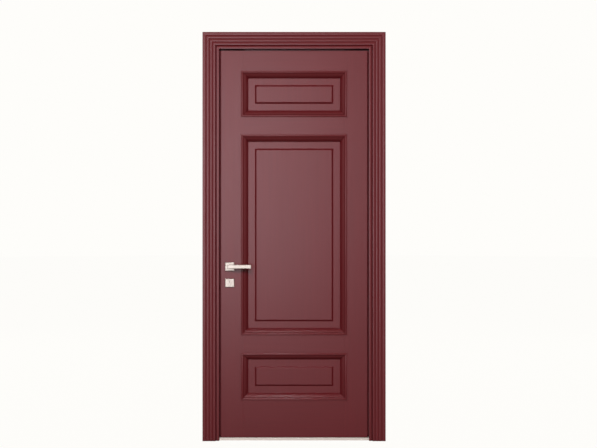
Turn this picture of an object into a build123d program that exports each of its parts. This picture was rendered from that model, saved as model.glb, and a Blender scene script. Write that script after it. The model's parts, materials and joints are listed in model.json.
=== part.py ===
from build123d import *
import os

# A panelled timber front door hung in its frame, in millimetres.
# X runs across the opening, Y from the outside to the inside, Z up from the floor.
# The origin lies on the floor, in the middle of the opening and of the frame's depth.

os.makedirs("parts", exist_ok=True)

# Frame and casings
opening_wide = 814
opening_high = 2127
frame_deep = 66
lip_thick = 16
rebate_wide = 16.5
jamb_wide = 56
casing_wide = 89
casing_thick = 20
casing_step = 7
groove_shares = (0.18, 0.385, 0.58, 0.787)
groove_half = 3.6
groove_deep = 3.2
reed_crown = 0.8
back_margin = 12
back_thick = 16
back_chamfer = 4
threshold_high = 15

# Leaf
face_gap = 9.5
edge_gap = 4
seal_gap = 4
leaf_bottom = 17
stile_face = 106
top_rail_face = 106
top_ring_high = 258
frieze_face = 88
lower_rail_face = 89
bottom_ring_high = 264
bottom_rail_face = 197.5
arris = 1.2

# Panels and their mouldings
ring_wide = 44
ring_lap = 18
ring_rise = 7
margin_deep = 19
panel_rise = 9
bevel_wide = 9
flat_margin = 34
groove_thick = 16
tongue_long = 12
panel_play = 0.5
tenon_long = 50
mitre_play = 0.1
fillet_share = 0.1
fillet_rise_share = 0.25
bead_shares = (0.22, 0.38)
bead_rise_share = 0.45
quirk_share = 0.43
quirk_rise_share = 0.15
slope_shares = (0.47, 0.744, 0.94)
slope_rise_share = 0.45
slope_fall_shares = (0.31, 0.96)

# Seals
seal_from_lip = 8
stem_wide = 3
stem_deep = 6
bulb_wide = 8
bulb_play = 0.4

# Hinges
hinge_heights = (230, 1075, 1920)
hinge_high = 102
plate_thick = 2.5
plate_deep = 28
barrel_r = 6
barrel_off = 6.3
knuckles = 5
knuckle_play = 0.3
pin_r = 3
tip_r = 5
tip_high = 5
tip_chamfer_share = 0.4
hinge_screw_y_shares = (0.25, 0.7)
hinge_screw_z_shares = (0.37, 0.2)

# Lock, its bolts and its cylinder
spindle_high = 946
backset = 70
centres = 85
case_thick = 16
case_wall = 1.5
case_above = 55
case_below = 45
case_past = 28
forend_thick = 3
forend_wide = 22
forend_past = 25
latch_above = 30
latch_high = 24
latch_thick = 12
latch_reach = 11
latch_nose = 3
latch_head_long = 14.5
tail_high = 8
tail_play = 1.5
tail_thick = 8
hook_wide = 6
hook_drop = 6
bolt_above = 34
bolt_high = 34
bolt_throw = 20
bolt_long = 62
bolt_pocket_play = 2
follower_r = 10
follower_bush_r = 9
follower_arm = 16
follower_arm_half = 2.5
shank_share = 0.7
follower_arm_thick = 6
follower_play = 0.5
lever_turn = 40
arm_lean = lever_turn / 2
profile_r = 8.5
profile_drop = 19.5
profile_half = 5
profile_proud = 1.5
plug_r = 6.5
plug_proud = 0.5
key_slot_wide = 2.4
key_slot_high = 8
key_slot_deep = 22
cam_thick = 10
cam_r = 15
cam_hub_r = 8
cam_half = 4
knob_flange_r = 11
knob_flange_thick = 3
knob_long = 15
knob_high = 26
knob_thick = 9
retainer_drop = 20
retainer_r = 2.4
retainer_head_r = 4

# Handle
rose_wide = 50
rose_high = 46
rose_drop = 1.5
escutcheon_drop = 5
rose_thick = 9
rose_chamfer = 2.5
rose_bolt_off = 19
rose_bolt_r = 2
neck_r = 9.5
neck_long = 47
lever_long = 119.5
lever_high = 21
lever_thick = 10
lever_chamfer = 2.5
spindle_wide = 8
spindle_sunk = 6
spindle_in_lever = 7

# Strike plate and fixings
strike_thick = 2.5
strike_wide = 26
strike_past = 10
strike_screw_in = 15
screw_r = 2
screw_head_r = 3.6
screw_head_thick = 2
screw_long = 26
fixing_r = 4
fixing_heights = (400, 1700)

# Clearances
turning_fit = 0.05
screw_fit = 0.05
free_play = 0.5
hole_play = 0.3
overrun = 2

# Planes and lines that follow from the sizes above
front = -frame_deep / 2
back = frame_deep / 2
lip_x = opening_wide / 2
lip_back = front + lip_thick
rebate_x = lip_x + rebate_wide
rebate_top = opening_high + rebate_wide
jamb_x = lip_x + jamb_wide
casing_x = lip_x + casing_wide
casing_top = opening_high + casing_wide
face_x = lip_x - face_gap
face_top = opening_high - face_gap
edge_x = rebate_x - edge_gap
edge_top = rebate_top - edge_gap
flange_front = lip_back + seal_gap
back_inner = rebate_wide + back_margin
ring_x = face_x - stile_face
open_x = ring_x - ring_lap
hinge_x = rebate_x - edge_gap / 2
hinge_y = back + barrel_off
spindle_x = -edge_x + backset
lock_y = (flange_front + back) / 2
cylinder_z = spindle_high - centres
case_top = spindle_high + case_above
case_bottom = cylinder_z - case_below
case_x = spindle_x + case_past
forend_back = -edge_x + forend_thick
latch_z = spindle_high + latch_above
bolt_z = cylinder_z + bolt_above
retainer_z = cylinder_z - retainer_drop
through = frame_deep + casing_thick + back_thick

# Heights of the three moulding rings: bottom and top of each
top_ring = (face_top - top_rail_face - top_ring_high, face_top - top_rail_face)
bottom_ring = (leaf_bottom + bottom_rail_face, leaf_bottom + bottom_rail_face + bottom_ring_high)
middle_ring = (bottom_ring[1] + lower_rail_face, top_ring[0] - frieze_face)
rings = {"top": top_ring, "middle": middle_ring, "bottom": bottom_ring}


def save(solid, name):
    """Name a finished piece and write it out."""
    solid.label = name
    export_step(solid, "parts/" + name + ".step")


def block(x0, x1, y0, y1, z0, z1, mode=Mode.ADD):
    """A square-cornered block between two corners."""
    with BuildSketch(Plane.XY.offset(z0)) as base:
        with Locations(((x0 + x1) / 2, (y0 + y1) / 2)):
            Rectangle(x1 - x0, y1 - y0)
    extrude(base.sketch, amount=z1 - z0, mode=mode)


def rod_x(x0, x1, y, z, r, mode=Mode.ADD):
    """A round bar or hole along X."""
    with BuildSketch(Plane.YZ.offset(x0)) as base:
        with Locations((y, z)):
            Circle(r)
    extrude(base.sketch, amount=x1 - x0, mode=mode)


def rod_y(y0, y1, x, z, r, mode=Mode.ADD):
    """A round bar or hole along Y."""
    with BuildSketch(Plane.XZ.offset(-y0)) as base:
        with Locations((x, z)):
            Circle(r)
    extrude(base.sketch, amount=y0 - y1, mode=mode)


def rod_z(z0, z1, x, y, r, mode=Mode.ADD):
    """A round bar or hole along Z."""
    with BuildSketch(Plane.XY.offset(z0)) as base:
        with Locations((x, y)):
            Circle(r)
    extrude(base.sketch, amount=z1 - z0, mode=mode)


def profile_bar(y0, y1, play, mode=Mode.ADD):
    """The keyhole-shaped section of the lock cylinder, run along Y."""
    with BuildSketch(Plane.XZ.offset(-y0)) as base:
        with Locations((spindle_x, cylinder_z)):
            Circle(profile_r + play)
        with Locations((spindle_x, cylinder_z - profile_drop / 2)):
            Rectangle(2 * (profile_half + play), profile_drop)
        with Locations((spindle_x, cylinder_z - profile_drop)):
            Circle(profile_half + play)
    extrude(base.sketch, amount=y0 - y1, mode=mode)


def mitred(section, origin, across, out, run, outline):
    """A moulded length: its section run square to both directions, then cut to an outline in the face."""
    along = across.cross(out)
    with BuildPart() as length:
        with BuildSketch(Plane(origin=origin, x_dir=across, z_dir=along)):
            with BuildLine():
                section()
            make_face()
        extrude(amount=run)
        with BuildSketch(Plane.XZ):
            with BuildLine():
                Polyline(*outline, close=True)
            make_face()
        extrude(amount=through, both=True, mode=Mode.INTERSECT)
    return length.part


right = Vector(1, 0, 0)
left = Vector(-1, 0, 0)
up = Vector(0, 0, 1)
down = Vector(0, 0, -1)
outward = Vector(0, -1, 0)
inward = Vector(0, 1, 0)


# Frame members: an upright each side and a head, mitred at the corners


def jamb_section():
    """Lip at the outside, rebate at the inside."""
    Polyline(
        (0, 0),
        (jamb_wide, 0),
        (jamb_wide, frame_deep),
        (rebate_wide, frame_deep),
        (rebate_wide, lip_thick),
        (0, lip_thick),
        close=True,
    )


def side_outline(sign, inner, outer, inner_top, outer_top):
    """Outline of an upright with its top cut on the mitre."""
    return ((sign * inner, 0), (sign * outer, 0), (sign * outer, outer_top), (sign * inner, inner_top))


def head_outline(inner, outer, inner_top, outer_top):
    """Outline of a head with both ends cut on the mitre."""
    return ((-inner, inner_top), (inner, inner_top), (outer, outer_top), (-outer, outer_top))


jamb_top = opening_high + jamb_wide
seal_x = lip_x + seal_from_lip
seal_z = opening_high + seal_from_lip
kerf_top = seal_z + bulb_wide / 2

left_upright = mitred(
    jamb_section,
    (-lip_x, front, jamb_top),
    left,
    inward,
    jamb_top,
    side_outline(-1, lip_x, jamb_x, opening_high, jamb_top),
)
right_upright = mitred(
    jamb_section,
    (lip_x, front, 0),
    right,
    inward,
    jamb_top,
    side_outline(1, lip_x, jamb_x, opening_high, jamb_top),
)
head_member = mitred(
    jamb_section,
    (jamb_x, front, opening_high),
    up,
    inward,
    2 * jamb_x,
    head_outline(lip_x, jamb_x, opening_high, jamb_top),
)

strike_bottom = case_bottom - strike_past
strike_top = case_top + strike_past
strike_back = -rebate_x - strike_thick
latch_pocket_x = -edge_x - latch_reach - bolt_pocket_play
bolt_pocket_x = -edge_x - bolt_throw - bolt_pocket_play
strike_screw_heights = (strike_bottom + strike_screw_in, strike_top - strike_screw_in)
latch_box = (
    lock_y - latch_thick / 2 - free_play,
    lock_y + latch_thick / 2 + free_play,
    latch_z - latch_high / 2 - bolt_pocket_play,
    latch_z + latch_high / 2 + bolt_pocket_play,
)
bolt_box = (
    lock_y - latch_thick / 2 - free_play,
    lock_y + latch_thick / 2 + free_play,
    bolt_z - bolt_high / 2 - bolt_pocket_play,
    bolt_z + bolt_high / 2 + bolt_pocket_play,
)

with BuildPart() as jamb_left:
    add(left_upright)
    block(
        -seal_x - stem_wide / 2,
        -seal_x + stem_wide / 2,
        lip_back - stem_deep,
        lip_back,
        0,
        kerf_top,
        Mode.SUBTRACT,
    )
    block(
        strike_back,
        -rebate_x,
        lock_y - strike_wide / 2,
        lock_y + strike_wide / 2,
        strike_bottom,
        strike_top,
        Mode.SUBTRACT,
    )
    block(latch_pocket_x, -rebate_x, *latch_box, Mode.SUBTRACT)
    block(bolt_pocket_x, -rebate_x, *bolt_box, Mode.SUBTRACT)
    for height in strike_screw_heights:
        rod_x(-rebate_x - screw_long, -rebate_x, lock_y, height, screw_r + screw_fit, Mode.SUBTRACT)
    for height in fixing_heights:
        rod_x(-jamb_x - overrun, -rebate_x + overrun, lock_y, height, fixing_r, Mode.SUBTRACT)
save(jamb_left.part, "jamb_left")

hinge_screw_places = [
    (back - plate_deep * y_share, sign * hinge_high * z_share)
    for y_share, z_share in zip(hinge_screw_y_shares, hinge_screw_z_shares)
    for sign in (-1, 1)
]

with BuildPart() as jamb_right:
    add(right_upright)
    block(
        seal_x - stem_wide / 2,
        seal_x + stem_wide / 2,
        lip_back - stem_deep,
        lip_back,
        0,
        kerf_top,
        Mode.SUBTRACT,
    )
    for height in hinge_heights:
        block(
            rebate_x,
            rebate_x + plate_thick,
            back - plate_deep,
            back,
            height - hinge_high / 2,
            height + hinge_high / 2,
            Mode.SUBTRACT,
        )
        for y, z in hinge_screw_places:
            rod_x(rebate_x, rebate_x + screw_long, y, height + z, screw_r + screw_fit, Mode.SUBTRACT)
    for height in fixing_heights:
        rod_x(rebate_x - overrun, jamb_x + overrun, lock_y, height, fixing_r, Mode.SUBTRACT)
save(jamb_right.part, "jamb_right")

with BuildPart() as head_jamb:
    add(head_member)
    block(
        -seal_x - stem_wide / 2,
        seal_x + stem_wide / 2,
        lip_back - stem_deep,
        lip_back,
        seal_z - stem_wide / 2,
        seal_z + stem_wide / 2,
        Mode.SUBTRACT,
    )
    for sign in (-1, 1):
        block(
            sign * seal_x - stem_wide / 2,
            sign * seal_x + stem_wide / 2,
            lip_back - stem_deep,
            lip_back,
            opening_high,
            kerf_top,
            Mode.SUBTRACT,
        )
save(head_jamb.part, "head_jamb")


# Reeded casings on the outside, plain ones on the inside


def reeded_section():
    """Five rounded reeds with sharp grooves between them, the innermost one lower."""
    edges = (0, *[share * casing_wide for share in groove_shares], casing_wide)
    tops = (casing_thick - casing_step, *[casing_thick for share in groove_shares])
    at = (0, 0)
    for reed, top in enumerate(tops):
        last = reed == len(tops) - 1
        near = edges[reed] + (groove_half if reed else 0)
        far = edges[reed + 1] - (0 if last else groove_half)
        shoulder = top - reed_crown
        Line(at, (near, shoulder))
        ThreePointArc((near, shoulder), ((near + far) / 2, top), (far, shoulder))
        at = (far, shoulder)
        if not last:
            dip = (edges[reed + 1], min(top, tops[reed + 1]) - groove_deep)
            Line(at, dip)
            at = dip
    Line(at, (casing_wide, 0))
    Line((casing_wide, 0), (0, 0))


def plain_section():
    """A flat board with its front edges taken off."""
    Polyline(
        (0, 0),
        (0, back_thick - back_chamfer),
        (back_chamfer, back_thick),
        (casing_wide - back_inner - back_chamfer, back_thick),
        (casing_wide - back_inner, back_thick - back_chamfer),
        (casing_wide - back_inner, 0),
        close=True,
    )


save(
    mitred(
        reeded_section,
        (-lip_x, front, 0),
        left,
        outward,
        casing_top,
        side_outline(-1, lip_x, casing_x, opening_high, casing_top),
    ),
    "casing_front_left",
)
save(
    mitred(
        reeded_section,
        (lip_x, front, casing_top),
        right,
        outward,
        casing_top,
        side_outline(1, lip_x, casing_x, opening_high, casing_top),
    ),
    "casing_front_right",
)
save(
    mitred(
        reeded_section,
        (-casing_x, front, opening_high),
        up,
        outward,
        2 * casing_x,
        head_outline(lip_x, casing_x, opening_high, casing_top),
    ),
    "casing_front_head",
)

plain_x = lip_x + back_inner
plain_bottom = opening_high + back_inner
save(
    mitred(
        plain_section,
        (-plain_x, back, casing_top),
        left,
        inward,
        casing_top,
        side_outline(-1, plain_x, casing_x, plain_bottom, casing_top),
    ),
    "casing_back_left",
)
save(
    mitred(
        plain_section,
        (plain_x, back, 0),
        right,
        inward,
        casing_top,
        side_outline(1, plain_x, casing_x, plain_bottom, casing_top),
    ),
    "casing_back_right",
)
save(
    mitred(
        plain_section,
        (casing_x, back, plain_bottom),
        up,
        inward,
        2 * casing_x,
        head_outline(plain_x, casing_x, plain_bottom, casing_top),
    ),
    "casing_back_head",
)


# Rubber seals, each a stem in its slot and a soft bulb towards the leaf


def seal_section():
    """Stem below the face of the lip, half-round bulb above it."""
    stem_half = stem_wide / 2 - screw_fit
    bulb_half = bulb_wide / 2
    Polyline(
        (bulb_half, 0),
        (stem_half, 0),
        (stem_half, screw_fit - stem_deep),
        (-stem_half, screw_fit - stem_deep),
        (-stem_half, 0),
        (-bulb_half, 0),
    )
    ThreePointArc((-bulb_half, 0), (0, seal_gap - bulb_play), (bulb_half, 0))


seal_half = bulb_wide / 2
for name, sign, across, start in (
    ("seal_left", -1, left, kerf_top),
    ("seal_right", 1, right, threshold_high),
):
    save(
        mitred(
            seal_section,
            (sign * seal_x, lip_back, start),
            across,
            inward,
            kerf_top - threshold_high,
            (
                (sign * seal_x - seal_half, threshold_high),
                (sign * seal_x + seal_half, threshold_high),
                (sign * seal_x + seal_half, kerf_top),
                (sign * seal_x - seal_half, kerf_top),
            ),
        ),
        name,
    )
save(
    mitred(
        seal_section,
        (seal_x - seal_half, lip_back, seal_z),
        up,
        inward,
        2 * (seal_x - seal_half),
        (
            (seal_half - seal_x, seal_z - seal_half),
            (seal_x - seal_half, seal_z - seal_half),
            (seal_x - seal_half, seal_z + seal_half),
            (seal_half - seal_x, seal_z + seal_half),
        ),
    ),
    "seal_head",
)

# Threshold: a flat bar scribed round the lips of the uprights
with BuildPart() as threshold:
    block(-lip_x, lip_x, front, lip_back, 0, threshold_high)
    block(-rebate_x, rebate_x, lip_back, back, 0, threshold_high)
save(threshold.part, "threshold")


# Screws and plates of the frame


def screws_along_x(places, x_face, sign):
    """Screws driven along X, heads just below the face they are driven from."""
    for y, z in places:
        rod_x(x_face, x_face + sign * screw_head_thick, y, z, screw_head_r)
        rod_x(x_face, x_face + sign * screw_long, y, z, screw_r)


def screw_holes_along_x(places, x_face, sign, thick):
    """Holes for those screws in the plate that they hold."""
    for y, z in places:
        rod_x(x_face, x_face + sign * screw_head_thick, y, z, screw_head_r + screw_fit, Mode.SUBTRACT)
        rod_x(x_face, x_face + sign * thick, y, z, screw_r + screw_fit, Mode.SUBTRACT)


strike_screw_places = [(lock_y, height) for height in strike_screw_heights]

with BuildPart() as strike_plate:
    block(
        strike_back,
        -rebate_x,
        lock_y - strike_wide / 2,
        lock_y + strike_wide / 2,
        strike_bottom,
        strike_top,
    )
    block(strike_back, -rebate_x, *latch_box, Mode.SUBTRACT)
    block(strike_back, -rebate_x, *bolt_box, Mode.SUBTRACT)
    screw_holes_along_x(strike_screw_places, -rebate_x, -1, strike_thick)
save(strike_plate.part, "strike_plate")

with BuildPart() as strike_screws:
    screws_along_x(strike_screw_places, -rebate_x, -1)
save(strike_screws.part, "strike_screws")


# Butt hinges: a plate with three knuckles on the frame, one with two on the leaf


def hinge_half(height, plate_x, sign, own):
    """One half of a hinge: its plate let into the timber and its own knuckles round the pin."""
    pitch = hinge_high / knuckles
    bottom = height - hinge_high / 2
    with BuildPart() as half:
        block(plate_x, plate_x + sign * plate_thick, back - plate_deep, back, bottom, bottom + hinge_high)
        for knuckle in own:
            z0 = bottom + knuckle * pitch + (knuckle_play / 2 if knuckle else 0)
            z1 = bottom + (knuckle + 1) * pitch - (knuckle_play / 2 if knuckle < knuckles - 1 else 0)
            block(plate_x, plate_x + sign * plate_thick, back, hinge_y, z0, z1)
            rod_z(z0, z1, hinge_x, hinge_y, barrel_r)
        rod_z(bottom, bottom + hinge_high, hinge_x, hinge_y, pin_r + turning_fit, Mode.SUBTRACT)
        places = [(y, height + z) for y, z in hinge_screw_places]
        screw_holes_along_x(places, plate_x, sign, plate_thick)
    return half.part


frame_knuckles = range(0, knuckles, 2)
leaf_knuckles = range(1, knuckles, 2)
hinge_names = ("bottom", "middle", "top")
for name, height in zip(hinge_names, hinge_heights):
    save(hinge_half(height, rebate_x, 1, frame_knuckles), "hinge_frame_" + name)
    save(hinge_half(height, edge_x, -1, leaf_knuckles), "hinge_leaf_" + name)

def hinge_pin(height):
    """A pin with a turned tip at each end that keeps it in the knuckles."""
    reach = hinge_high / 2
    with BuildPart() as pin:
        rod_z(height - reach, height + reach, hinge_x, hinge_y, pin_r)
        rod_z(height + reach, height + reach + tip_high, hinge_x, hinge_y, tip_r)
        rod_z(height - reach - tip_high, height - reach, hinge_x, hinge_y, tip_r)
        ends = pin.faces().sort_by(Axis.Z)
        chamfer(ends[0].edges() + ends[-1].edges(), tip_r * tip_chamfer_share)
    return pin.part


pins = [hinge_pin(height) for height in hinge_heights]
with BuildPart() as hinge_pins:
    for pin in pins:
        add(pin)
save(hinge_pins.part, "hinge_pins")

with BuildPart() as hinge_frame_screws:
    for height in hinge_heights:
        screws_along_x([(y, height + z) for y, z in hinge_screw_places], rebate_x, 1)
save(hinge_frame_screws.part, "hinge_frame_screws")

with BuildPart() as hinge_leaf_screws:
    for height in hinge_heights:
        screws_along_x([(y, height + z) for y, z in hinge_screw_places], edge_x, -1)
save(hinge_leaf_screws.part, "hinge_leaf_screws")


# Leaf: two stiles, four rails with stub tenons, three panels in grooves

open_heights = {name: (low + ring_lap, high - ring_lap) for name, (low, high) in rings.items()}
groove_deep_in = tongue_long + panel_play


def panel_grooves():
    """Cut the grooves that hold the panels."""
    for low, high in open_heights.values():
        block(
            -open_x - groove_deep_in,
            open_x + groove_deep_in,
            -groove_thick / 2,
            groove_thick / 2,
            low - groove_deep_in,
            high + groove_deep_in,
            Mode.SUBTRACT,
        )


rail_heights = {
    "rail_top": (open_heights["top"][1], edge_top),
    "rail_frieze": (open_heights["middle"][1], open_heights["top"][0]),
    "rail_lower": (open_heights["bottom"][1], open_heights["middle"][0]),
    "rail_bottom": (leaf_bottom, open_heights["bottom"][0]),
}


def tenon_heights(name):
    """A tenon keeps clear of the panel grooves and of the leaf's outer edges."""
    low, high = rail_heights[name]
    return low + groove_thick, high - groove_thick - (edge_top - face_top if name == "rail_top" else 0)


def stile(sign):
    """A stile: full-height rebated edge, panel grooves and mortises."""
    inner = sign * open_x
    with BuildPart() as upright:
        block(inner, sign * edge_x, flange_front, back, leaf_bottom, edge_top)
        block(inner, sign * face_x, front, flange_front, leaf_bottom, face_top)
        front_edges = upright.edges().filter_by_position(Axis.Y, front, front)
        chamfer(front_edges.filter_by(Axis.Z).sort_by(Axis.X)[-1 if sign > 0 else 0], arris)
        panel_grooves()
        for name in rail_heights:
            low, high = tenon_heights(name)
            block(
                inner,
                inner + sign * tenon_long,
                -groove_thick / 2,
                groove_thick / 2,
                low,
                high,
                Mode.SUBTRACT,
            )
    return upright.part


rose_bolt_places = [spindle_x - rose_bolt_off, spindle_x + rose_bolt_off]
forend_bottom = case_bottom - forend_past
forend_top = case_top + forend_past
forend_screw_places = [
    (lock_y, (forend_bottom + case_bottom) / 2),
    (lock_y, (forend_top + case_top) / 2),
]

plain_lock_stile = stile(-1)
with BuildPart() as stile_lock:
    add(plain_lock_stile)
    block(
        -edge_x,
        forend_back,
        lock_y - forend_wide / 2,
        lock_y + forend_wide / 2,
        forend_bottom,
        forend_top,
        Mode.SUBTRACT,
    )
    block(
        forend_back,
        case_x + free_play,
        lock_y - case_thick / 2,
        lock_y + case_thick / 2,
        case_bottom - free_play,
        case_top + free_play,
        Mode.SUBTRACT,
    )
    rod_y(front, back, spindle_x, spindle_high, neck_r + free_play, Mode.SUBTRACT)
    for x in rose_bolt_places:
        rod_y(front, back, x, spindle_high, rose_bolt_r + free_play, Mode.SUBTRACT)
    profile_bar(front, back, free_play, Mode.SUBTRACT)
    for y, z in forend_screw_places:
        rod_x(-edge_x, -edge_x + screw_long, y, z, screw_r + screw_fit, Mode.SUBTRACT)
save(stile_lock.part, "stile_lock")

plain_hinge_stile = stile(1)
with BuildPart() as stile_hinge:
    add(plain_hinge_stile)
    for height in hinge_heights:
        block(
            edge_x - plate_thick,
            edge_x,
            back - plate_deep,
            back,
            height - hinge_high / 2,
            height + hinge_high / 2,
            Mode.SUBTRACT,
        )
        for y, z in hinge_screw_places:
            rod_x(edge_x - screw_long, edge_x, y, height + z, screw_r + screw_fit, Mode.SUBTRACT)
save(stile_hinge.part, "stile_hinge")

for name, (low, high) in rail_heights.items():
    with BuildPart() as rail:
        tenon_low, tenon_high = tenon_heights(name)
        block(-open_x, open_x, flange_front, back, low, high)
        block(-open_x, open_x, front, flange_front, low, min(high, face_top))
        if name == "rail_top":
            front_edges = rail.edges().filter_by_position(Axis.Y, front, front)
            chamfer(front_edges.filter_by(Axis.X).sort_by(Axis.Z)[-1], arris)
        panel_grooves()
        block(
            -open_x - tenon_long,
            open_x + tenon_long,
            -groove_thick / 2,
            groove_thick / 2,
            tenon_low,
            tenon_high,
        )
    save(rail.part, name)


def raised_field(low, high, direction):
    """The middle of a panel, raised on one side and bevelled all round."""
    base_y = direction * (back - margin_deep)
    inset = ring_wide - ring_lap + flat_margin
    wide = 2 * (open_x - inset)
    tall = high - low - 2 * inset
    middle = (low + high) / 2
    with BuildSketch(Plane.XZ.offset(-base_y)) as foot:
        with Locations((0, middle)):
            Rectangle(wide, tall)
    with BuildSketch(Plane.XZ.offset(-base_y - direction * panel_rise)) as head:
        with Locations((0, middle)):
            Rectangle(wide - 2 * bevel_wide, tall - 2 * bevel_wide)
    loft([foot.sketch, head.sketch])


for name, (low, high) in open_heights.items():
    with BuildPart() as panel:
        block(
            panel_play - open_x,
            open_x - panel_play,
            front + margin_deep,
            back - margin_deep,
            low + panel_play,
            high - panel_play,
        )
        block(
            -open_x - tongue_long,
            open_x + tongue_long,
            screw_fit - groove_thick / 2,
            groove_thick / 2 - screw_fit,
            low - tongue_long,
            high + tongue_long,
        )
        raised_field(low, high, -1)
        raised_field(low, high, 1)
    save(panel.part, "panel_" + name)


# Mouldings: four mitred lengths round each panel, on both faces


def ring_section():
    """Fillet and bead on the stile, a narrow quirk, then a rounded slope down to the panel."""
    fillet = (fillet_share * ring_wide, fillet_rise_share * ring_rise)
    bead = (bead_shares[0] * ring_wide, ring_rise)
    bead_end = (bead_shares[1] * ring_wide, bead_rise_share * ring_rise)
    quirk = (quirk_share * ring_wide, quirk_rise_share * ring_rise)
    slope = [
        (slope_shares[0] * ring_wide, slope_rise_share * ring_rise),
        (slope_shares[1] * ring_wide, -slope_fall_shares[0] * margin_deep),
        (slope_shares[2] * ring_wide, -slope_fall_shares[1] * margin_deep),
    ]
    foot = (ring_wide, -slope_fall_shares[1] * margin_deep)
    Polyline((0, 0), (0, fillet_rise_share * ring_rise), fillet)
    ThreePointArc(fillet, bead, bead_end)
    Polyline(bead_end, quirk, slope[0])
    ThreePointArc(*slope)
    Polyline(
        slope[2],
        foot,
        (ring_wide, -margin_deep),
        (ring_lap, -margin_deep),
        (ring_lap, 0),
        (0, 0),
    )


def ring_lengths(low, high, face, out):
    """The four lengths round one panel, a hair apart at the mitres."""
    x0, x1 = -ring_x, ring_x
    in_x0, in_x1 = x0 + ring_wide, x1 - ring_wide
    in_low, in_high = low + ring_wide, high - ring_wide
    play = mitre_play
    lengths = []
    for across, x, in_x in ((right, x0, in_x0), (left, x1, in_x1)):
        start = low if across.cross(out).Z > 0 else high
        outline = ((x, low + play), (in_x, in_low + play), (in_x, in_high - play), (x, high - play))
        lengths.append(mitred(ring_section, (x, face, start), across, out, high - low, outline))
    for across, z, in_z in ((up, low, in_low), (down, high, in_high)):
        start = x0 if across.cross(out).X > 0 else x1
        outline = ((x0 + play, z), (in_x0 + play, in_z), (in_x1 - play, in_z), (x1 - play, z))
        lengths.append(mitred(ring_section, (start, face, z), across, out, x1 - x0, outline))
    return lengths


for side, face, out in (("front", front, outward), ("back", back, inward)):
    for name, (low, high) in rings.items():
        lengths = ring_lengths(low, high, face, out)
        with BuildPart() as ring:
            for length in lengths:
                add(length)
        save(ring.part, "moulding_" + side + "_" + name)


# Mortise lock: case and cover, forend, follower, latch and bolt


def case_holes():
    """Holes through both sides of the case for the follower, the cylinder and the rose bolts."""
    y0 = lock_y - case_thick
    y1 = lock_y + case_thick
    rod_y(y0, y1, spindle_x, spindle_high, follower_bush_r + turning_fit, Mode.SUBTRACT)
    profile_bar(y0, y1, free_play, Mode.SUBTRACT)
    for x in rose_bolt_places:
        rod_y(y0, y1, x, spindle_high, rose_bolt_r + free_play, Mode.SUBTRACT)


case_front = lock_y - case_thick / 2
case_back = lock_y + case_thick / 2

with BuildPart() as lock_case:
    block(forend_back, case_x, case_front, case_back, case_bottom, case_top)
    block(
        forend_back,
        case_x - case_wall,
        case_front + case_wall,
        case_back,
        case_bottom + case_wall,
        case_top - case_wall,
        Mode.SUBTRACT,
    )
    case_holes()
save(lock_case.part, "lock_case")

with BuildPart() as lock_cover:
    block(
        forend_back,
        case_x - case_wall,
        case_back - case_wall,
        case_back,
        case_bottom + case_wall,
        case_top - case_wall,
    )
    case_holes()
save(lock_cover.part, "lock_cover")

with BuildPart() as forend:
    block(
        -edge_x,
        forend_back,
        lock_y - forend_wide / 2,
        lock_y + forend_wide / 2,
        forend_bottom,
        forend_top,
    )
    for z, high in ((latch_z, latch_high), (bolt_z, bolt_high)):
        block(
            -edge_x,
            forend_back,
            lock_y - latch_thick / 2 - hole_play,
            lock_y + latch_thick / 2 + hole_play,
            z - high / 2 - hole_play,
            z + high / 2 + hole_play,
            Mode.SUBTRACT,
        )
    screw_holes_along_x(forend_screw_places, -edge_x, 1, forend_thick)
    rod_x(-edge_x, forend_back, lock_y, retainer_z, retainer_r + screw_fit, Mode.SUBTRACT)
    rod_x(
        -edge_x,
        -edge_x + screw_head_thick,
        lock_y,
        retainer_z,
        retainer_head_r + screw_fit,
        Mode.SUBTRACT,
    )
save(forend.part, "forend")

with BuildPart() as forend_screws:
    screws_along_x(forend_screw_places, -edge_x, 1)
save(forend_screws.part, "forend_screws")

with BuildPart() as cylinder_screw:
    rod_x(-edge_x, -edge_x + screw_head_thick, lock_y, retainer_z, retainer_head_r)
    rod_x(-edge_x, spindle_x + profile_half, lock_y, retainer_z, retainer_r)
save(cylinder_screw.part, "cylinder_screw")

arm_place = Vector(0, follower_arm).rotate(Axis.Z, arm_lean)
with BuildPart() as follower:
    rod_y(case_front, case_back, spindle_x, spindle_high, follower_bush_r)
    rod_y(
        case_front + case_wall + follower_play,
        case_back - case_wall - follower_play,
        spindle_x,
        spindle_high,
        follower_r,
    )
    with BuildSketch(Plane.XZ.offset(follower_arm_thick / 2 - lock_y)) as arm:
        with BuildLine(Location((spindle_x, spindle_high), arm_lean)):
            Polyline(
                (-shank_share * follower_arm_half, 0),
                (shank_share * follower_arm_half, 0),
                (shank_share * follower_arm_half, follower_arm),
                (-shank_share * follower_arm_half, follower_arm),
                close=True,
            )
        make_face()
        with Locations((spindle_x + arm_place.X, spindle_high + arm_place.Y)):
            Circle(follower_arm_half)
    extrude(amount=-follower_arm_thick)
    block(
        spindle_x - spindle_wide / 2 - screw_fit,
        spindle_x + spindle_wide / 2 + screw_fit,
        case_front,
        case_back,
        spindle_high - spindle_wide / 2 - screw_fit,
        spindle_high + spindle_wide / 2 + screw_fit,
        Mode.SUBTRACT,
    )
save(follower.part, "follower")

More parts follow.
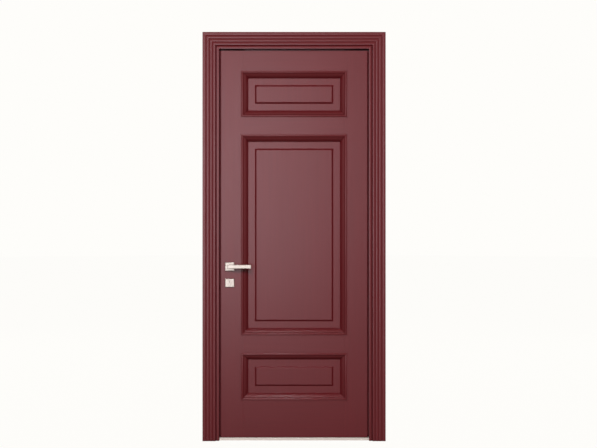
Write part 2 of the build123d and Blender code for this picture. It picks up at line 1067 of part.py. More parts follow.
latch_tip = -edge_x - latch_reach
latch_head_end = -edge_x + latch_head_long
hook_x = spindle_x + arm_place.X + follower_arm_half + follower_play
tail_bottom = spindle_high + follower_arm + follower_arm_half + tail_play
hook_bottom = tail_bottom - hook_drop
with BuildPart() as latch_bolt:
    with BuildSketch(Plane.XY.offset(latch_z - latch_high / 2)):
        with BuildLine():
            Polyline(
                (-edge_x, lock_y - latch_thick / 2),
                (latch_head_end, lock_y - latch_thick / 2),
                (latch_head_end, lock_y + latch_thick / 2),
                (latch_tip, lock_y + latch_thick / 2),
                (latch_tip, lock_y + latch_thick / 2 - latch_nose),
                close=True,
            )
        make_face()
    extrude(amount=latch_high)
    block(
        latch_head_end,
        hook_x + hook_wide,
        lock_y - tail_thick / 2,
        lock_y + tail_thick / 2,
        tail_bottom,
        tail_bottom + tail_high,
    )
    block(
        hook_x,
        hook_x + hook_wide,
        lock_y - tail_thick / 2,
        lock_y + tail_thick / 2,
        hook_bottom,
        tail_bottom,
    )
save(latch_bolt.part, "latch_bolt")

with BuildPart() as dead_bolt:
    block(
        -edge_x,
        -edge_x + bolt_long,
        lock_y - latch_thick / 2,
        lock_y + latch_thick / 2,
        bolt_z - bolt_high / 2,
        bolt_z + bolt_high / 2,
    )
save(dead_bolt.part, "dead_bolt")


# Lock cylinder: body, plug, cam and thumbturn

cylinder_end = back + rose_thick + profile_proud
cam_front = lock_y - cam_thick / 2
cam_back = lock_y + cam_thick / 2

with BuildPart() as cylinder_body:
    profile_bar(-cylinder_end, cylinder_end, 0)
    rod_y(-cylinder_end, cylinder_end, spindle_x, cylinder_z, plug_r + turning_fit, Mode.SUBTRACT)
    rod_y(
        cam_front - free_play,
        cam_back + free_play,
        spindle_x,
        cylinder_z,
        cam_r + free_play,
        Mode.SUBTRACT,
    )
    rod_x(
        spindle_x - 2 * profile_half,
        spindle_x + 2 * profile_half,
        lock_y,
        retainer_z,
        retainer_r + screw_fit,
        Mode.SUBTRACT,
    )
save(cylinder_body.part, "cylinder_body")

with BuildPart() as cylinder_plug:
    rod_y(-cylinder_end - plug_proud, cam_front, spindle_x, cylinder_z, plug_r)
    block(
        spindle_x - key_slot_wide / 2,
        spindle_x + key_slot_wide / 2,
        -cylinder_end - plug_proud,
        key_slot_deep - cylinder_end,
        cylinder_z - key_slot_high / 2,
        cylinder_z + key_slot_high / 2,
        Mode.SUBTRACT,
    )
save(cylinder_plug.part, "cylinder_plug")

with BuildPart() as cam:
    rod_y(cam_front, cam_back, spindle_x, cylinder_z, cam_hub_r)
    block(
        spindle_x - cam_half,
        spindle_x + cam_half,
        cam_front,
        cam_back,
        cylinder_z - cam_r + cam_half / 2,
        cylinder_z,
    )
save(cam.part, "cam")

knob_start = cylinder_end + knob_flange_thick + plug_proud
with BuildPart() as thumbturn:
    rod_y(cam_back, knob_start, spindle_x, cylinder_z, plug_r)
    rod_y(cylinder_end + plug_proud, knob_start, spindle_x, cylinder_z, knob_flange_r)
    with BuildSketch(Plane.XZ.offset(-knob_start)):
        with Locations((spindle_x, cylinder_z)):
            SlotOverall(knob_high, knob_thick, rotation=90)
    extrude(amount=-knob_long)
    chamfer(thumbturn.faces().sort_by(Axis.Y)[-1].edges(), rose_chamfer)
save(thumbturn.part, "thumbturn")


# Handle: levers on one spindle, roses bolted through the stile, escutcheons


def cover_plate(direction, z, hole):
    """A nearly square plate on one face of the leaf, its outer edges bevelled."""
    face = direction * back
    with BuildPart() as plate:
        with BuildSketch(Plane.XZ.offset(-face)):
            with Locations((spindle_x, z)):
                Rectangle(rose_wide, rose_high)
        extrude(amount=-direction * rose_thick)
        outer = plate.faces().sort_by(Axis.Y)[-1 if direction > 0 else 0]
        chamfer(outer.edges(), rose_chamfer)
        hole(face, face + direction * rose_thick)
    return plate.part


def rose_hole(y0, y1):
    """Room for the lever's neck, and blind holes for the bolts that join the roses."""
    rod_y(y0, y1, spindle_x, spindle_high, neck_r + free_play, Mode.SUBTRACT)
    for x in rose_bolt_places:
        rod_y(y0, (y0 + y1) / 2, x, spindle_high, rose_bolt_r + screw_fit, Mode.SUBTRACT)


def cylinder_hole(y0, y1):
    """The cylinder shows through the escutcheon."""
    profile_bar(y0, y1, hole_play, Mode.SUBTRACT)


def lever(direction):
    """A flat bar on a round neck, with a square socket for the spindle."""
    start = direction * (back + rose_thick - spindle_sunk)
    neck_end = direction * (back + rose_thick + neck_long - spindle_sunk)
    bar_end = neck_end + direction * lever_thick
    with BuildPart() as handle:
        with BuildSketch(Plane.XZ.offset(-neck_end)):
            with Locations((spindle_x + (lever_long - lever_high / 2) / 2, spindle_high)):
                Rectangle(lever_long + lever_high / 2, lever_high)
        extrude(amount=-direction * lever_thick)
        chamfer(handle.edges(), lever_chamfer)
        rod_y(start, neck_end + direction * lever_thick / 2, spindle_x, spindle_high, neck_r)
        socket_end = neck_end - direction * spindle_in_lever
        block(
            spindle_x - spindle_wide / 2 - screw_fit,
            spindle_x + spindle_wide / 2 + screw_fit,
            min(start, socket_end),
            max(start, socket_end),
            spindle_high - spindle_wide / 2 - screw_fit,
            spindle_high + spindle_wide / 2 + screw_fit,
            Mode.SUBTRACT,
        )
    return handle.part


spindle_end = back + rose_thick + neck_long - spindle_sunk - spindle_in_lever - free_play

with BuildPart() as spindle:
    block(
        spindle_x - spindle_wide / 2,
        spindle_x + spindle_wide / 2,
        -spindle_end,
        spindle_end,
        spindle_high - spindle_wide / 2,
        spindle_high + spindle_wide / 2,
    )
save(spindle.part, "spindle")

for side, direction in (("front", -1), ("back", 1)):
    save(lever(direction), "lever_" + side)
    save(cover_plate(direction, spindle_high - rose_drop, rose_hole), "rose_" + side)
    save(cover_plate(direction, cylinder_z - escutcheon_drop, cylinder_hole), "escutcheon_" + side)

rose_bolt_end = back + rose_thick / 2 - free_play
with BuildPart() as rose_bolts:
    for x in rose_bolt_places:
        rod_y(-rose_bolt_end, rose_bolt_end, x, spindle_high, rose_bolt_r)
save(rose_bolts.part, "rose_bolts")
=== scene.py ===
# %% [markdown]
# A panelled front door in its frame
#
# The door arrives as a imported CAD model: 59 named nodes on six bodies that swing, turn and slide.
# This lesson dresses it. The shapes stay where the CAD put them, so most of the work is in the
# finishes, the softened edges, a few small pieces that CAD leaves plain, and the studio round it.
# The first cell loads the frame.

import json
from math import pi, radians

import bmesh
import bpy
from mathutils import Matrix, Vector


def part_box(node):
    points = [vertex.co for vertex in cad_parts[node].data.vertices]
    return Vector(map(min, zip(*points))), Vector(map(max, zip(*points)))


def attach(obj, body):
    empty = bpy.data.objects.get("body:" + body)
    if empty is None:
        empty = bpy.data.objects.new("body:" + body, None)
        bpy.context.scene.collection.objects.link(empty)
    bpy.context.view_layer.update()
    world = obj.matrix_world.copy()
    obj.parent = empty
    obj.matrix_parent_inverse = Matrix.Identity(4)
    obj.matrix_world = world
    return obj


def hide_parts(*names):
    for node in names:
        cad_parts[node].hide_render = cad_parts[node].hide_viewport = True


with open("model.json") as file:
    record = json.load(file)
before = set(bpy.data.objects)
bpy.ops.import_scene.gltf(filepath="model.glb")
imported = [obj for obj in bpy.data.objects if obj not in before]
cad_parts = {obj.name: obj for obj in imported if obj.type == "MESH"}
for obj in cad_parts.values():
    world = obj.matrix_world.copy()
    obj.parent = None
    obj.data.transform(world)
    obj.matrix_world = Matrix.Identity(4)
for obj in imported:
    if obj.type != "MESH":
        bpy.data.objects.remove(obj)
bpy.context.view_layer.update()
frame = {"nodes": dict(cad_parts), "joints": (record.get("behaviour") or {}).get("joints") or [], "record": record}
nodes = frame["nodes"]
slot_of = {part["node"]: part["material_slot"] for part in frame["record"]["subparts"]}

# %% [markdown]
# Colours are written as a painter would note them, as sRGB hex values. Blender's shaders count in
# linear light, so one function turns a hex value into the numbers that a socket wants.

# %% Colour from a hex value
MM = 0.001


def paint_chip(hex_value):
    """Linear colour, with alpha, of an sRGB hex value such as 611419."""
    channels = []
    for start in (0, 2, 4):
        share = int(hex_value[start : start + 2], 16) / 255
        channels.append(share / 12.92 if share <= 0.04045 else ((share + 0.055) / 1.055) ** 2.4)
    return (*channels, 1.0)


print("burgundy", [round(c, 4) for c in paint_chip("611419")])

# %% [markdown]
# Every finish, the floor and the sky are small trees of nodes. One helper adds a node, sets what
# it is told and links what it is given, so that a material below reads as a list of what happens.
# A Mix node has a set of sockets for each kind of data, under the same names, so those are told by
# number.

# %% Add a node
FACTOR, NUMBER_A, NUMBER_B, NUMBER_OUT = 0, 2, 3, 0
COLOUR_A, COLOUR_B, COLOUR_OUT = 6, 7, 2


def add_node(tree, kind, inputs=(), **settings):
    """A node with its settings; an input is a plain value or the socket that feeds it."""
    made = tree.nodes.new(kind)
    for name, value in settings.items():
        setattr(made, name, value)
    for socket, value in dict(inputs).items():
        if isinstance(value, bpy.types.NodeSocket):
            tree.links.new(value, made.inputs[socket])
        else:
            made.inputs[socket].default_value = value
    return made


print("a colour mix takes sockets", FACTOR, COLOUR_A, COLOUR_B, "and gives", COLOUR_OUT)

# %% [markdown]
# The camera stands level, about five metres in front of the door and a little to the right of its
# middle, at chest height. Level means that upright edges stay upright. The width of the picture at
# the front of the casings was measured from the door's own size, and the lens follows from it.

# %% Camera
SENSOR = 36.0
picture_wide = 3.232
camera_far, camera_right, camera_high = 5.0, 0.024, 1.176
casing_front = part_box("casing_front_left")[0][1]

camera_data = bpy.data.cameras.new("camera")
camera_data.sensor_width = SENSOR
camera_data.lens = SENSOR * camera_far / picture_wide
camera = bpy.data.objects.new("camera", camera_data)
camera.location = (camera_right, casing_front - camera_far, camera_high)
camera.rotation_euler = (radians(90), 0, 0)
bpy.context.scene.collection.objects.link(camera)
bpy.context.scene.camera = camera
print("lens", round(camera_data.lens, 2), "at", [round(c, 3) for c in camera.location])

# %% [markdown]
# The studio is a white floor under a white sky. Rays from the camera see both as plain white, and
# rays off a shiny surface see a share of that white. Rays that carry light to the paint see a
# dimmer sky, so the lamps do the shaping. A Light Path node tells the rays apart.

# %% White sky
bpy.context.scene.view_settings.view_transform = "Standard"
backdrop_white = paint_chip("fefdfa")
sky_on_paint, sky_in_gloss = 0.1, 0.7


def seen_directly(tree, in_gloss):
    """1 for rays from the camera or through glass, and a share for rays off a shiny surface."""
    path = add_node(tree, "ShaderNodeLightPath")
    gloss = add_node(
        tree,
        "ShaderNodeMath",
        {0: path.outputs["Is Glossy Ray"], 1: in_gloss},
        operation="MULTIPLY",
    )
    first = add_node(
        tree,
        "ShaderNodeMath",
        {0: path.outputs["Is Camera Ray"], 1: gloss.outputs[0]},
        operation="MAXIMUM",
    )
    return add_node(
        tree,
        "ShaderNodeMath",
        {0: first.outputs[0], 1: path.outputs["Is Transmission Ray"]},
        operation="MAXIMUM",
    ).outputs[0]


world = bpy.data.worlds.new("white_sky")
world.use_nodes = True
sky_tree = world.node_tree
sky_tree.nodes.clear()
dim_sky, shown_sky = [
    add_node(sky_tree, "ShaderNodeBackground", {"Color": backdrop_white, "Strength": strength})
    for strength in (sky_on_paint, 1.0)
]
sky = add_node(
    sky_tree,
    "ShaderNodeMixShader",
    {0: seen_directly(sky_tree, sky_in_gloss), 1: dim_sky.outputs[0], 2: shown_sky.outputs[0]},
)
add_node(sky_tree, "ShaderNodeOutputWorld", {"Surface": sky.outputs[0]})
bpy.context.scene.world = world
print("sky", world.name)

# %% [markdown]
# The floor is a wide disc. Under its plain white it keeps a small share of a matt grey, and on that
# grey lies the door's shadow.

# %% Floor
floor_r = 30
floor_in_gloss = 0.2
plain_share = 0.97
floor_paint = bpy.data.materials.new("studio_floor")
floor_paint.use_nodes = True
floor_tree = floor_paint.node_tree
floor_tree.nodes.clear()
matt_grey = add_node(floor_tree, "ShaderNodeBsdfDiffuse", {"Color": paint_chip("7e7c78")})
plain_white = add_node(
    floor_tree, "ShaderNodeEmission", {"Color": backdrop_white, "Strength": 1.02}
)
shown_share = add_node(
    floor_tree,
    "ShaderNodeMath",
    {0: seen_directly(floor_tree, floor_in_gloss), 1: plain_share},
    operation="MULTIPLY",
)
floor_mix = add_node(
    floor_tree,
    "ShaderNodeMixShader",
    {0: shown_share.outputs[0], 1: matt_grey.outputs[0], 2: plain_white.outputs[0]},
)
add_node(floor_tree, "ShaderNodeOutputMaterial", {"Surface": floor_mix.outputs[0]})

floor_mesh = bpy.data.meshes.new("studio_floor")
shape = bmesh.new()
bmesh.ops.create_circle(shape, cap_ends=True, segments=96, radius=floor_r)
shape.to_mesh(floor_mesh)
shape.free()
floor_mesh.materials.append(floor_paint)
floor = bpy.data.objects.new("studio_floor", floor_mesh)
bpy.context.scene.collection.objects.link(floor)
print("floor", len(floor_mesh.polygons), "face")

# %% [markdown]
# Five soft lamps light the door. The softbox beside the camera, up and to the left, is seen only in
# reflections: blurred by the satin paint, it is the pale sheen on the upper left and the brightness
# of the metal. The key stands farther off and higher, and is left out of reflections: ledges that
# look down fall dark under it, and the more so the nearer they are to the floor. One more hangs
# overhead with a grid on it, which keeps its beam narrow and on the foot of the door. It is seen
# only in reflections too: it is the pale line along the lowest ledges that look up. The last two
# stand behind the door to both sides. They do nothing to its front, but light the edges and inside.

# %% Lamps
def soft_lamp(name, place, size, power, tint, shading, sheen, aim=(0, 0, 1), beam=180):
    """A square lamp; it can be left out of shading or of reflections, and its beam narrowed."""
    data = bpy.data.lights.new(name, "AREA")
    data.shape = "SQUARE"
    data.size = size
    data.energy = power
    data.spread = radians(beam)
    data.color = paint_chip(tint)[:3]
    lamp = bpy.data.objects.new(name, data)
    lamp.location = place
    lamp.rotation_euler = (Vector(aim) - Vector(place)).to_track_quat("-Z", "Y").to_euler()
    lamp.visible_diffuse = shading
    lamp.visible_glossy = sheen
    bpy.context.scene.collection.objects.link(lamp)
    return lamp


cool, neutral = "f2f8ff", "ffffff"
lamps = [
    soft_lamp("softbox", (-1.2, -5.3, 1.7), 3.0, 137, cool, False, True),
    soft_lamp("key", (-0.3, -6.2, 3.4), 1.6, 340, neutral, True, False),
    soft_lamp(
        "overhead", (-0.5, -2.2, 5.0), 1.0, 1.1, cool, False, True, aim=(0, -0.4, 0), beam=16
    ),
    soft_lamp("behind_left", (-3.9, 3.6, 2.8), 3.0, 210, neutral, True, True),
    soft_lamp("behind_right", (3.9, 3.6, 2.8), 3.0, 210, neutral, True, True),
]
print("lamps", [lamp.name for lamp in lamps])

# %% [markdown]
# Most of the door is timber under a satin alkyd paint. It was brushed along the grain, so fine
# tramlines run up the stiles and across the rails. The paint is thick enough to hide the colour of
# the wood, but the open grain still shows as long shallow hollows. A picture of paint could give
# this, but noise has no seams, and its scale follows from real sizes: tramlines 1.4 mm apart and
# 160 mm long, grain 9 mm apart, orange peel 3 mm across. A Mapping node draws each one out along
# the run of the brush.

# %% Brushed patterns
# Spacing and length of each pattern, with the settings of its noise
paint_patterns = {
    "strokes": (1.4 * MM, 160 * MM, {"Detail": 2.0}),
    "grain": (9 * MM, 420 * MM, {"Detail": 3.0, "Roughness": 0.6, "Distortion": 0.6}),
    "peel": (3 * MM, 3 * MM, {"Detail": 1.0}),
    "cloud": (170 * MM, 420 * MM, {"Detail": 2.0}),
}


def brushed_patterns(tree, run):
    """The patterns in the paint, drawn out along one axis of the object."""
    place = add_node(tree, "ShaderNodeTexCoord").outputs["Object"]
    patterns = {}
    for name, (spacing, length, settings) in paint_patterns.items():
        scales = [1 / spacing] * 3
        scales[run] = 1 / length
        lined = add_node(tree, "ShaderNodeMapping", {"Vector": place, "Scale": scales}).outputs[0]
        noise = add_node(tree, "ShaderNodeTexNoise", {"Vector": lined, "Scale": 1.0, **settings})
        patterns[name] = noise.outputs[0]
    return patterns


print("patterns", list(paint_patterns))

# %% [markdown]
# Where pieces almost meet, as beside the leaf, the paint is made dark and dull: painted shade in the
# crevices. It could be painted on by hand, but an ambient occlusion node finds such places by
# itself: it tells how open each spot is within 14 mm.

# %% Painted shade in narrow places
crevice_deep = 14 * MM


def crevice_shade_share(tree, most):
    """The share of painted shade on the paint: the most of it in a crevice, and none in the open."""
    openness = add_node(
        tree, "ShaderNodeAmbientOcclusion", {"Distance": crevice_deep}, samples=8
    )
    return add_node(
        tree,
        "ShaderNodeMapRange",
        {
            "Value": openness.outputs["AO"],
            "From Min": 0.3,
            "From Max": 0.68,
            "To Min": most,
            "To Max": 0.0,
        },
    ).outputs[0]


# Painted shade: spots with little open space within this reach are darkened.
print("dirt is looked for within", crevice_deep, "m")

# %% [markdown]
# The paint puts these together. Two near tones lie in clouds, a little darker in the grain, and the
# painted shade of the crevices goes over both. The shine varies with the strokes of the brush and
# dies in those crevices. Three bumps in a row give the relief, the grain deepest. The paint of rails
# and heads gets none of the painted shade.

# %% Satin alkyd paint
# Strength and depth of the relief from each pattern
paint_relief = {"grain": (0.25, 0.15 * MM), "strokes": (0.3, 0.04 * MM), "peel": (0.3, 0.03 * MM)}
crevice_rough = 0.95


def satin_paint(name, run, most_crevice_shade):
    """Burgundy paint brushed along one axis of the object: 0 for across, 2 for up."""
    material = bpy.data.materials.new(name)
    material.use_nodes = True
    tree = material.node_tree
    tree.nodes.clear()
    patterns = brushed_patterns(tree, run)
    crevice_shade = crevice_shade_share(tree, most_crevice_shade)
    tone = add_node(
        tree,
        "ShaderNodeMix",
        {
            FACTOR: patterns["cloud"],
            COLOUR_A: paint_chip("611419"),
            COLOUR_B: paint_chip("67181e"),
        },
        data_type="RGBA",
    )
    shade = add_node(
        tree,
        "ShaderNodeMapRange",
        {
            "Value": patterns["grain"],
            "From Min": 0.35,
            "From Max": 0.65,
            "To Min": 0.94,
            "To Max": 1.03,
        },
    )
    grained = add_node(
        tree,
        "ShaderNodeMix",
        {FACTOR: 1.0, COLOUR_A: tone.outputs[COLOUR_OUT], COLOUR_B: shade.outputs[0]},
        data_type="RGBA",
        blend_type="MULTIPLY",
    )
    # Painted shade: in crevices the mask mixes the paint towards the dark red-brown 3a0d10.
    colour = add_node(
        tree,
        "ShaderNodeMix",
        {FACTOR: crevice_shade, COLOUR_A: grained.outputs[COLOUR_OUT], COLOUR_B: paint_chip("3a0d10")},
        data_type="RGBA",
    )
    brushed = add_node(
        tree,
        "ShaderNodeMapRange",
        {
            "Value": patterns["strokes"],
            "From Min": 0.3,
            "From Max": 0.7,
            "To Min": 0.34,
            "To Max": 0.4,
        },
    )
    rough = add_node(
        tree, "ShaderNodeMix", {FACTOR: crevice_shade, NUMBER_A: brushed.outputs[0], NUMBER_B: crevice_rough}
    )
    relief = {}
    for pattern, (strength, deep) in paint_relief.items():
        heights = {"Height": patterns[pattern], "Strength": strength, "Distance": deep}
        bump = add_node(tree, "ShaderNodeBump", {**heights, **relief})
        relief = {"Normal": bump.outputs[0]}
    shader = add_node(
        tree,
        "ShaderNodeBsdfPrincipled",
        {
            "Base Color": colour.outputs[COLOUR_OUT],
            "Roughness": rough.outputs[NUMBER_OUT],
            "Specular IOR Level": 0.45,
            "IOR": 1.5,
            **relief,
        },
    )
    add_node(tree, "ShaderNodeOutputMaterial", {"Surface": shader.outputs[0]})
    return material


# Rails and heads get no painted shade in their crevices; the rest gets it in full.
paint_up = satin_paint("satin_paint_up", 2, 1.0)
paint_across = satin_paint("satin_paint_across", 0, 0.0)
print("paint", paint_up.name, paint_across.name)

# %% [markdown]
# The handles and plates are zinc castings, plated with nickel and then brushed and lacquered: satin
# nickel. It is a metal, a little warm, and its fine brushing spreads the light along one direction.
# Brush lines on the real one are about 0.15 mm apart, which is too fine to show, so they are drawn
# at 0.5 mm. The hinges, lock and screws are steel under bright zinc, bluer and blotchier, and the
# threshold is drawn and anodised aluminium, pale and lined along its length. The three differ only
# in tint, dullness and the run of their lines, so one function makes them all.

# %% Metals
patch_across = 14 * MM


def brushed_metal(name, tints, rough, run, spacing, length, deep, stretch):
    """A metal with brush lines along one axis of the object."""
    material = bpy.data.materials.new(name)
    material.use_nodes = True
    tree = material.node_tree
    tree.nodes.clear()
    place = add_node(tree, "ShaderNodeTexCoord").outputs["Object"]
    scales = [1 / spacing] * 3
    scales[run] = 1 / length
    lined = add_node(tree, "ShaderNodeMapping", {"Vector": place, "Scale": scales}).outputs[0]
    lines = add_node(tree, "ShaderNodeTexNoise", {"Vector": lined, "Scale": 1.0, "Detail": 3.0})
    patches = add_node(
        tree, "ShaderNodeTexNoise", {"Vector": place, "Scale": 1 / patch_across, "Detail": 2.0}
    )
    tone = add_node(
        tree,
        "ShaderNodeMix",
        {
            FACTOR: patches.outputs[0],
            COLOUR_A: paint_chip(tints[0]),
            COLOUR_B: paint_chip(tints[1]),
        },
        data_type="RGBA",
    )
    dullness = add_node(
        tree,
        "ShaderNodeMapRange",
        {
            "Value": lines.outputs[0],
            "From Min": 0.3,
            "From Max": 0.7,
            "To Min": rough[0],
            "To Max": rough[1],
        },
    )
    ridges = add_node(
        tree, "ShaderNodeBump", {"Height": lines.outputs[0], "Strength": 0.3, "Distance": deep}
    )
    shader = add_node(
        tree,
        "ShaderNodeBsdfPrincipled",
        {
            "Base Color": tone.outputs[COLOUR_OUT],
            "Metallic": 1.0,
            "Roughness": dullness.outputs[0],
            "Normal": ridges.outputs[0],
            "Anisotropic": stretch,
        },
    )
    add_node(tree, "ShaderNodeOutputMaterial", {"Surface": shader.outputs[0]})
    return material


satin_nickel = brushed_metal(
    "satin_nickel",
    tints=("bbada4", "c8bab1"),
    rough=(0.42, 0.52),
    run=0,
    spacing=0.5 * MM,
    length=40 * MM,
    deep=0.015 * MM,
    stretch=0.3,
)
zinc_plate = brushed_metal(
    "bright_zinc_plate",
    tints=("a9adb2", "bcc0c4"),
    rough=(0.3, 0.44),
    run=2,
    spacing=1.2 * MM,
    length=6 * MM,
    deep=0.004 * MM,
    stretch=0.0,
)
sill_metal = brushed_metal(
    "anodised_aluminium",
    tints=("e8dad0", "f0e3da"),
    rough=(0.52, 0.62),
    run=0,
    spacing=0.6 * MM,
    length=90 * MM,
    deep=0.02 * MM,
    stretch=0.2,
)
print("metals", satin_nickel.name, zinc_plate.name, sill_metal.name)

# %% [markdown]
# The seal is extruded EPDM rubber: matt and slightly chalky, with a faint tooth that takes the shine
# off it. Its dark red-brown, the door's own colour, is set dark to stand in for the shade in the gap:
# partly the rubber's own colour, partly painted shade.

# %% Rubber
chalk_across = 2 * MM
seal_rubber = bpy.data.materials.new("epdm_rubber_and_gap_shade")
seal_rubber.use_nodes = True
rubber_tree = seal_rubber.node_tree
rubber_tree.nodes.clear()
rubber_place = add_node(rubber_tree, "ShaderNodeTexCoord").outputs["Object"]
chalk = add_node(
    rubber_tree,
    "ShaderNodeTexNoise",
    {"Vector": rubber_place, "Scale": 1 / chalk_across, "Detail": 3.0},
).outputs[0]
# Partly painted shade: the two dark red-browns are set to read as the shade in the gap beside the leaf.
rubber_and_gap_shade_tone = add_node(
    rubber_tree,
    "ShaderNodeMix",
    {FACTOR: chalk, COLOUR_A: paint_chip("1f0809"), COLOUR_B: paint_chip("260b0c")},
    data_type="RGBA",
)
rubber_skin = add_node(
    rubber_tree, "ShaderNodeBump", {"Height": chalk, "Strength": 0.3, "Distance": 0.05 * MM}
)
rubber_shader = add_node(
    rubber_tree,
    "ShaderNodeBsdfPrincipled",
    {
        "Base Color": rubber_and_gap_shade_tone.outputs[COLOUR_OUT],
        "Roughness": 0.78,
        "Specular IOR Level": 0.08,
        "Normal": rubber_skin.outputs[0],
    },
)
add_node(rubber_tree, "ShaderNodeOutputMaterial", {"Surface": rubber_shader.outputs[0]})
print("rubber", seal_rubber.name)

# %% [markdown]
# The record already says which finish each node has. Painted pieces get the paint that was brushed
# the way their grain runs: across for the rails and the heads, up for everything else.

# %% Finishes on the CAD nodes
finishes = {
    "satin_nickel": satin_nickel,
    "steel": zinc_plate,
    "seal_rubber": seal_rubber,
    "sill_metal": sill_metal,
}
grain_across = {"head_jamb", "casing_front_head", "casing_back_head"}


def finish_of(name):
    """The finish of one CAD node."""
    if slot_of[name] != "paint":
        return finishes[slot_of[name]]
    return paint_across if name.startswith("rail_") or name in grain_across else paint_up


for name, piece in nodes.items():
    piece.data.materials.clear()
    piece.data.materials.append(finish_of(name))
print("finished", len(nodes), "nodes")

# %% [markdown]
# Painted timber has no sharp corners: sandpaper and three coats of paint leave an arris of about
# half a millimetre. Cutting it into the meshes would change the CAD nodes, so three modifiers make
# it instead. Weld joins the loose triangles, Decimate takes out the edges between triangles of one
# flat face, and Bevel rounds what is left sharper than thirty degrees. The reeded casings are
# round already and stay out.

# %% Softened arrises
arris_r = 0.6 * MM
weld_near = 0.01 * MM
flat_within, sharp_from = radians(0.5), radians(30)
joiner_made = [n for n in nodes if slot_of[n] == "paint" and not n.startswith("casing_front")]

for name in joiner_made:
    weld = nodes[name].modifiers.new("weld", "WELD")
    weld.merge_threshold = weld_near
    flats = nodes[name].modifiers.new("flats", "DECIMATE")
    flats.decimate_type = "DISSOLVE"
    flats.angle_limit = flat_within
    soften = nodes[name].modifiers.new("soften", "BEVEL")
    soften.width = arris_r
    soften.segments = 2
    soften.limit_method = "ANGLE"
    soften.angle_limit = sharp_from
    soften.miter_outer = "MITER_ARC"

depsgraph = bpy.context.evaluated_depsgraph_get()
face_counts = [len(nodes[n].evaluated_get(depsgraph).data.polygons) for n in joiner_made]
print("softened", len(joiner_made), "nodes, most faces", max(face_counts))

# %% [markdown]
# The CAD screws are plain pins, because their drives matter to nobody but the eye. Here each one is
# made again as it is sold: a flat head with a cross recess, a shank and a point. The shape starts
# from a grid of nine squares, because a spun profile would have no room for the cross. The middle
# row and column are the cross, which is pushed in. The outer edges, cut in two, are drawn out to a
# circle for the rim and on, step by step, to the tip.

# %% Cross-head screw
def draw_rim(shape, edges, radius, height):
    """Draws new edges out from the given ones and lays them on a circle."""
    drawn = bmesh.ops.extrude_edge_only(shape, edges=edges)["geom"]
    verts = {g for g in drawn if isinstance(g, bmesh.types.BMVert)}
    for v in verts:
        v.co.xy = v.co.xy.normalized() * radius
        v.co.z = height
    return [g for g in drawn if isinstance(g, bmesh.types.BMEdge) and verts.issuperset(g.verts)]


def cross_head_screw(head_r, long):
    """One screw that looks along +Z, with the top of its head at the origin."""
    shape = bmesh.new()
    arm, half_slot = 0.55 * head_r, 0.13 * head_r
    bmesh.ops.create_grid(shape, x_segments=3, y_segments=3, size=arm)
    for v in shape.verts:
        for axis in (0, 1):
            if abs(v.co[axis]) < 0.6 * arm:
                v.co[axis] = half_slot if v.co[axis] > 0 else -half_slot
    middles = {f: f.calc_center_median() for f in shape.faces}
    cross = [f for f, m in middles.items() if min(abs(m.x), abs(m.y)) < half_slot]
    bmesh.ops.bisect_edges(shape, edges=[e for e in shape.edges if e.is_boundary], cuts=1)
    edges = draw_rim(shape, [e for e in shape.edges if e.is_boundary], 0.94 * head_r, 0)
    bmesh.ops.inset_region(
        shape,
        faces=cross,
        thickness=0.04 * head_r,
        depth=-0.3 * head_r,
        use_even_offset=True,
    )
    # Radius and depth of the rims, in shares of the head's radius: edge, head, shank, point
    tip = long / head_r
    for radius, down in ((1.0, 0.06), (1.0, 0.12), (0.55, 0.5), (0.55, tip - 1.2), (0.1, tip)):
        edges = draw_rim(shape, edges, radius * head_r, -down * head_r)
    bmesh.ops.holes_fill(shape, edges=edges, sides=len(edges))
    bmesh.ops.recalc_face_normals(shape, faces=shape.faces)
    return shape


sample = cross_head_screw(3.6 * MM, 26 * MM)
print("screw", len(sample.faces), "faces, open edges", sum(e.is_boundary for e in sample.edges))
sample.free()

# %% [markdown]
# A CAD node can hold several solids. Its mesh is loose triangles, so a copy is merged first, and
# then each island of joined vertices is one screw, with its own box.

# %% Where the screws are
# Which way the heads look along X
heads_look = {
    "strike_screws": 1,
    "hinge_frame_screws": -1,
    "hinge_leaf_screws": 1,
    "forend_screws": -1,
    "cylinder_screw": -1,
}


def islands(name):
    """The boxes of the separate solids in one CAD node."""
    shape = bmesh.new()
    shape.from_mesh(nodes[name].data)
    bmesh.ops.remove_doubles(shape, verts=shape.verts, dist=weld_near)
    left, boxes = set(shape.verts), []
    while left:
        reached, queue = set(), [left.pop()]
        while queue:
            v = queue.pop()
            reached.add(v)
            beside = {e.other_vert(v) for e in v.link_edges} & left
            left -= beside
            queue += beside
        low = Vector([min(v.co[axis] for v in reached) for axis in range(3)])
        high = Vector([max(v.co[axis] for v in reached) for axis in range(3)])
        boxes.append((low, high))
    shape.free()
    return boxes


screw_boxes = {name: islands(name) for name in heads_look}
print("screws", {name: len(boxes) for name, boxes in screw_boxes.items()})

# %% [markdown]
# Each new screw takes the box of its CAD pin: the same length, the same head and the same place.
# The screws of one node become one piece, which rides on that node's body and replaces the pins.

# %% Screws in their places
body_of_node = {
    n: body for body, names in frame["record"]["behaviour"]["bodies"].items() for n in names
}


def new_piece(name, shape, material, body):
    """A finished piece from a bmesh, on its body and with its finish."""
    mesh = bpy.data.meshes.new(name)
    shape.to_mesh(mesh)
    shape.free()
    mesh.materials.append(material)
    piece = bpy.data.objects.new(name, mesh)
    bpy.context.scene.collection.objects.link(piece)
    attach(piece, body)
    return piece


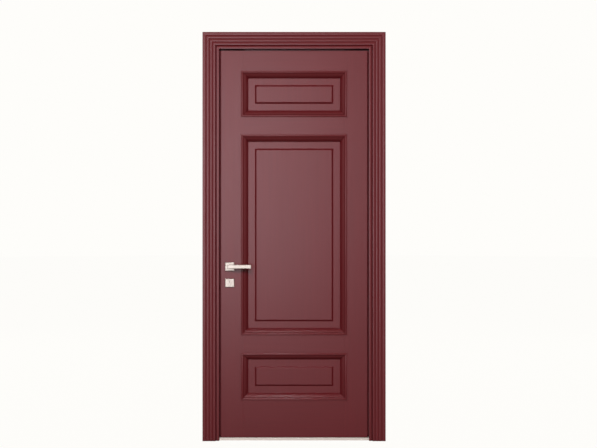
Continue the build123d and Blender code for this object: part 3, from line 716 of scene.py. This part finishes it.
for name, look in heads_look.items():
    together = bmesh.new()
    for low, high in screw_boxes[name]:
        screw = cross_head_screw((high.y - low.y) / 2, high.x - low.x)
        top = (low + high) / 2
        top.x = high.x if look > 0 else low.x
        turned = Matrix.Translation(top) @ Matrix.Rotation(look * pi / 2, 4, "Y")
        bmesh.ops.transform(screw, matrix=turned, verts=screw.verts)
        one = bpy.data.meshes.new("one_screw")
        screw.to_mesh(one)
        screw.free()
        together.from_mesh(one)
        bpy.data.meshes.remove(one)
    piece = new_piece(name + "_crossed", together, zinc_plate, body_of_node[name])
    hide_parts(name)
    print(piece.name, len(piece.data.polygons), "faces")

# %% [markdown]
# A lever is held on its spindle by a small grub screw with a hexagon socket, let in from below,
# where it is out of sight. It starts as a hexagon whose edges are cut in four and drawn out to a
# circle.

# %% Grub screws under the levers
def grub_screw(r, deep):
    """A socket screw that looks along +Z, with its end at the origin."""
    shape = bmesh.new()
    bmesh.ops.create_circle(shape, cap_ends=True, segments=6, radius=0.55 * r)
    socket = list(shape.faces)
    bmesh.ops.bisect_edges(shape, edges=shape.edges, cuts=3)
    edges = draw_rim(shape, list(shape.edges), 0.88 * r, 0)
    bmesh.ops.inset_region(
        shape, faces=socket, thickness=0.02 * r, depth=-0.4 * deep, use_even_offset=True
    )
    for radius, down in ((r, 0.12 * r), (r, deep)):
        edges = draw_rim(shape, edges, radius, -down)
    bmesh.ops.holes_fill(shape, edges=edges, sides=len(edges))
    bmesh.ops.recalc_face_normals(shape, faces=shape.faces)
    return shape


lever_axis = next(j for j in frame["joints"] if j["name"] == "lever_turn")["pos_m"]
neck_r = 9.5 * MM
grub_r, grub_long, grub_proud = 2.5 * MM, 2.5 * MM, 0.4 * MM
grub_z = lever_axis[2] - neck_r - grub_proud

for side, face in (("front", 0), ("back", 1)):
    neck_y = (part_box("rose_" + side)[face][1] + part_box("lever_" + side)[face][1]) / 2
    grub = grub_screw(grub_r, grub_long)
    place = Matrix.Translation((lever_axis[0], neck_y, grub_z)) @ Matrix.Rotation(pi, 4, "X")
    bmesh.ops.transform(grub, matrix=place, verts=grub.verts)
    piece = new_piece("grub_screw_" + side, grub, zinc_plate, "handle")
    print(piece.name, [round(c, 4) for c in place.translation])
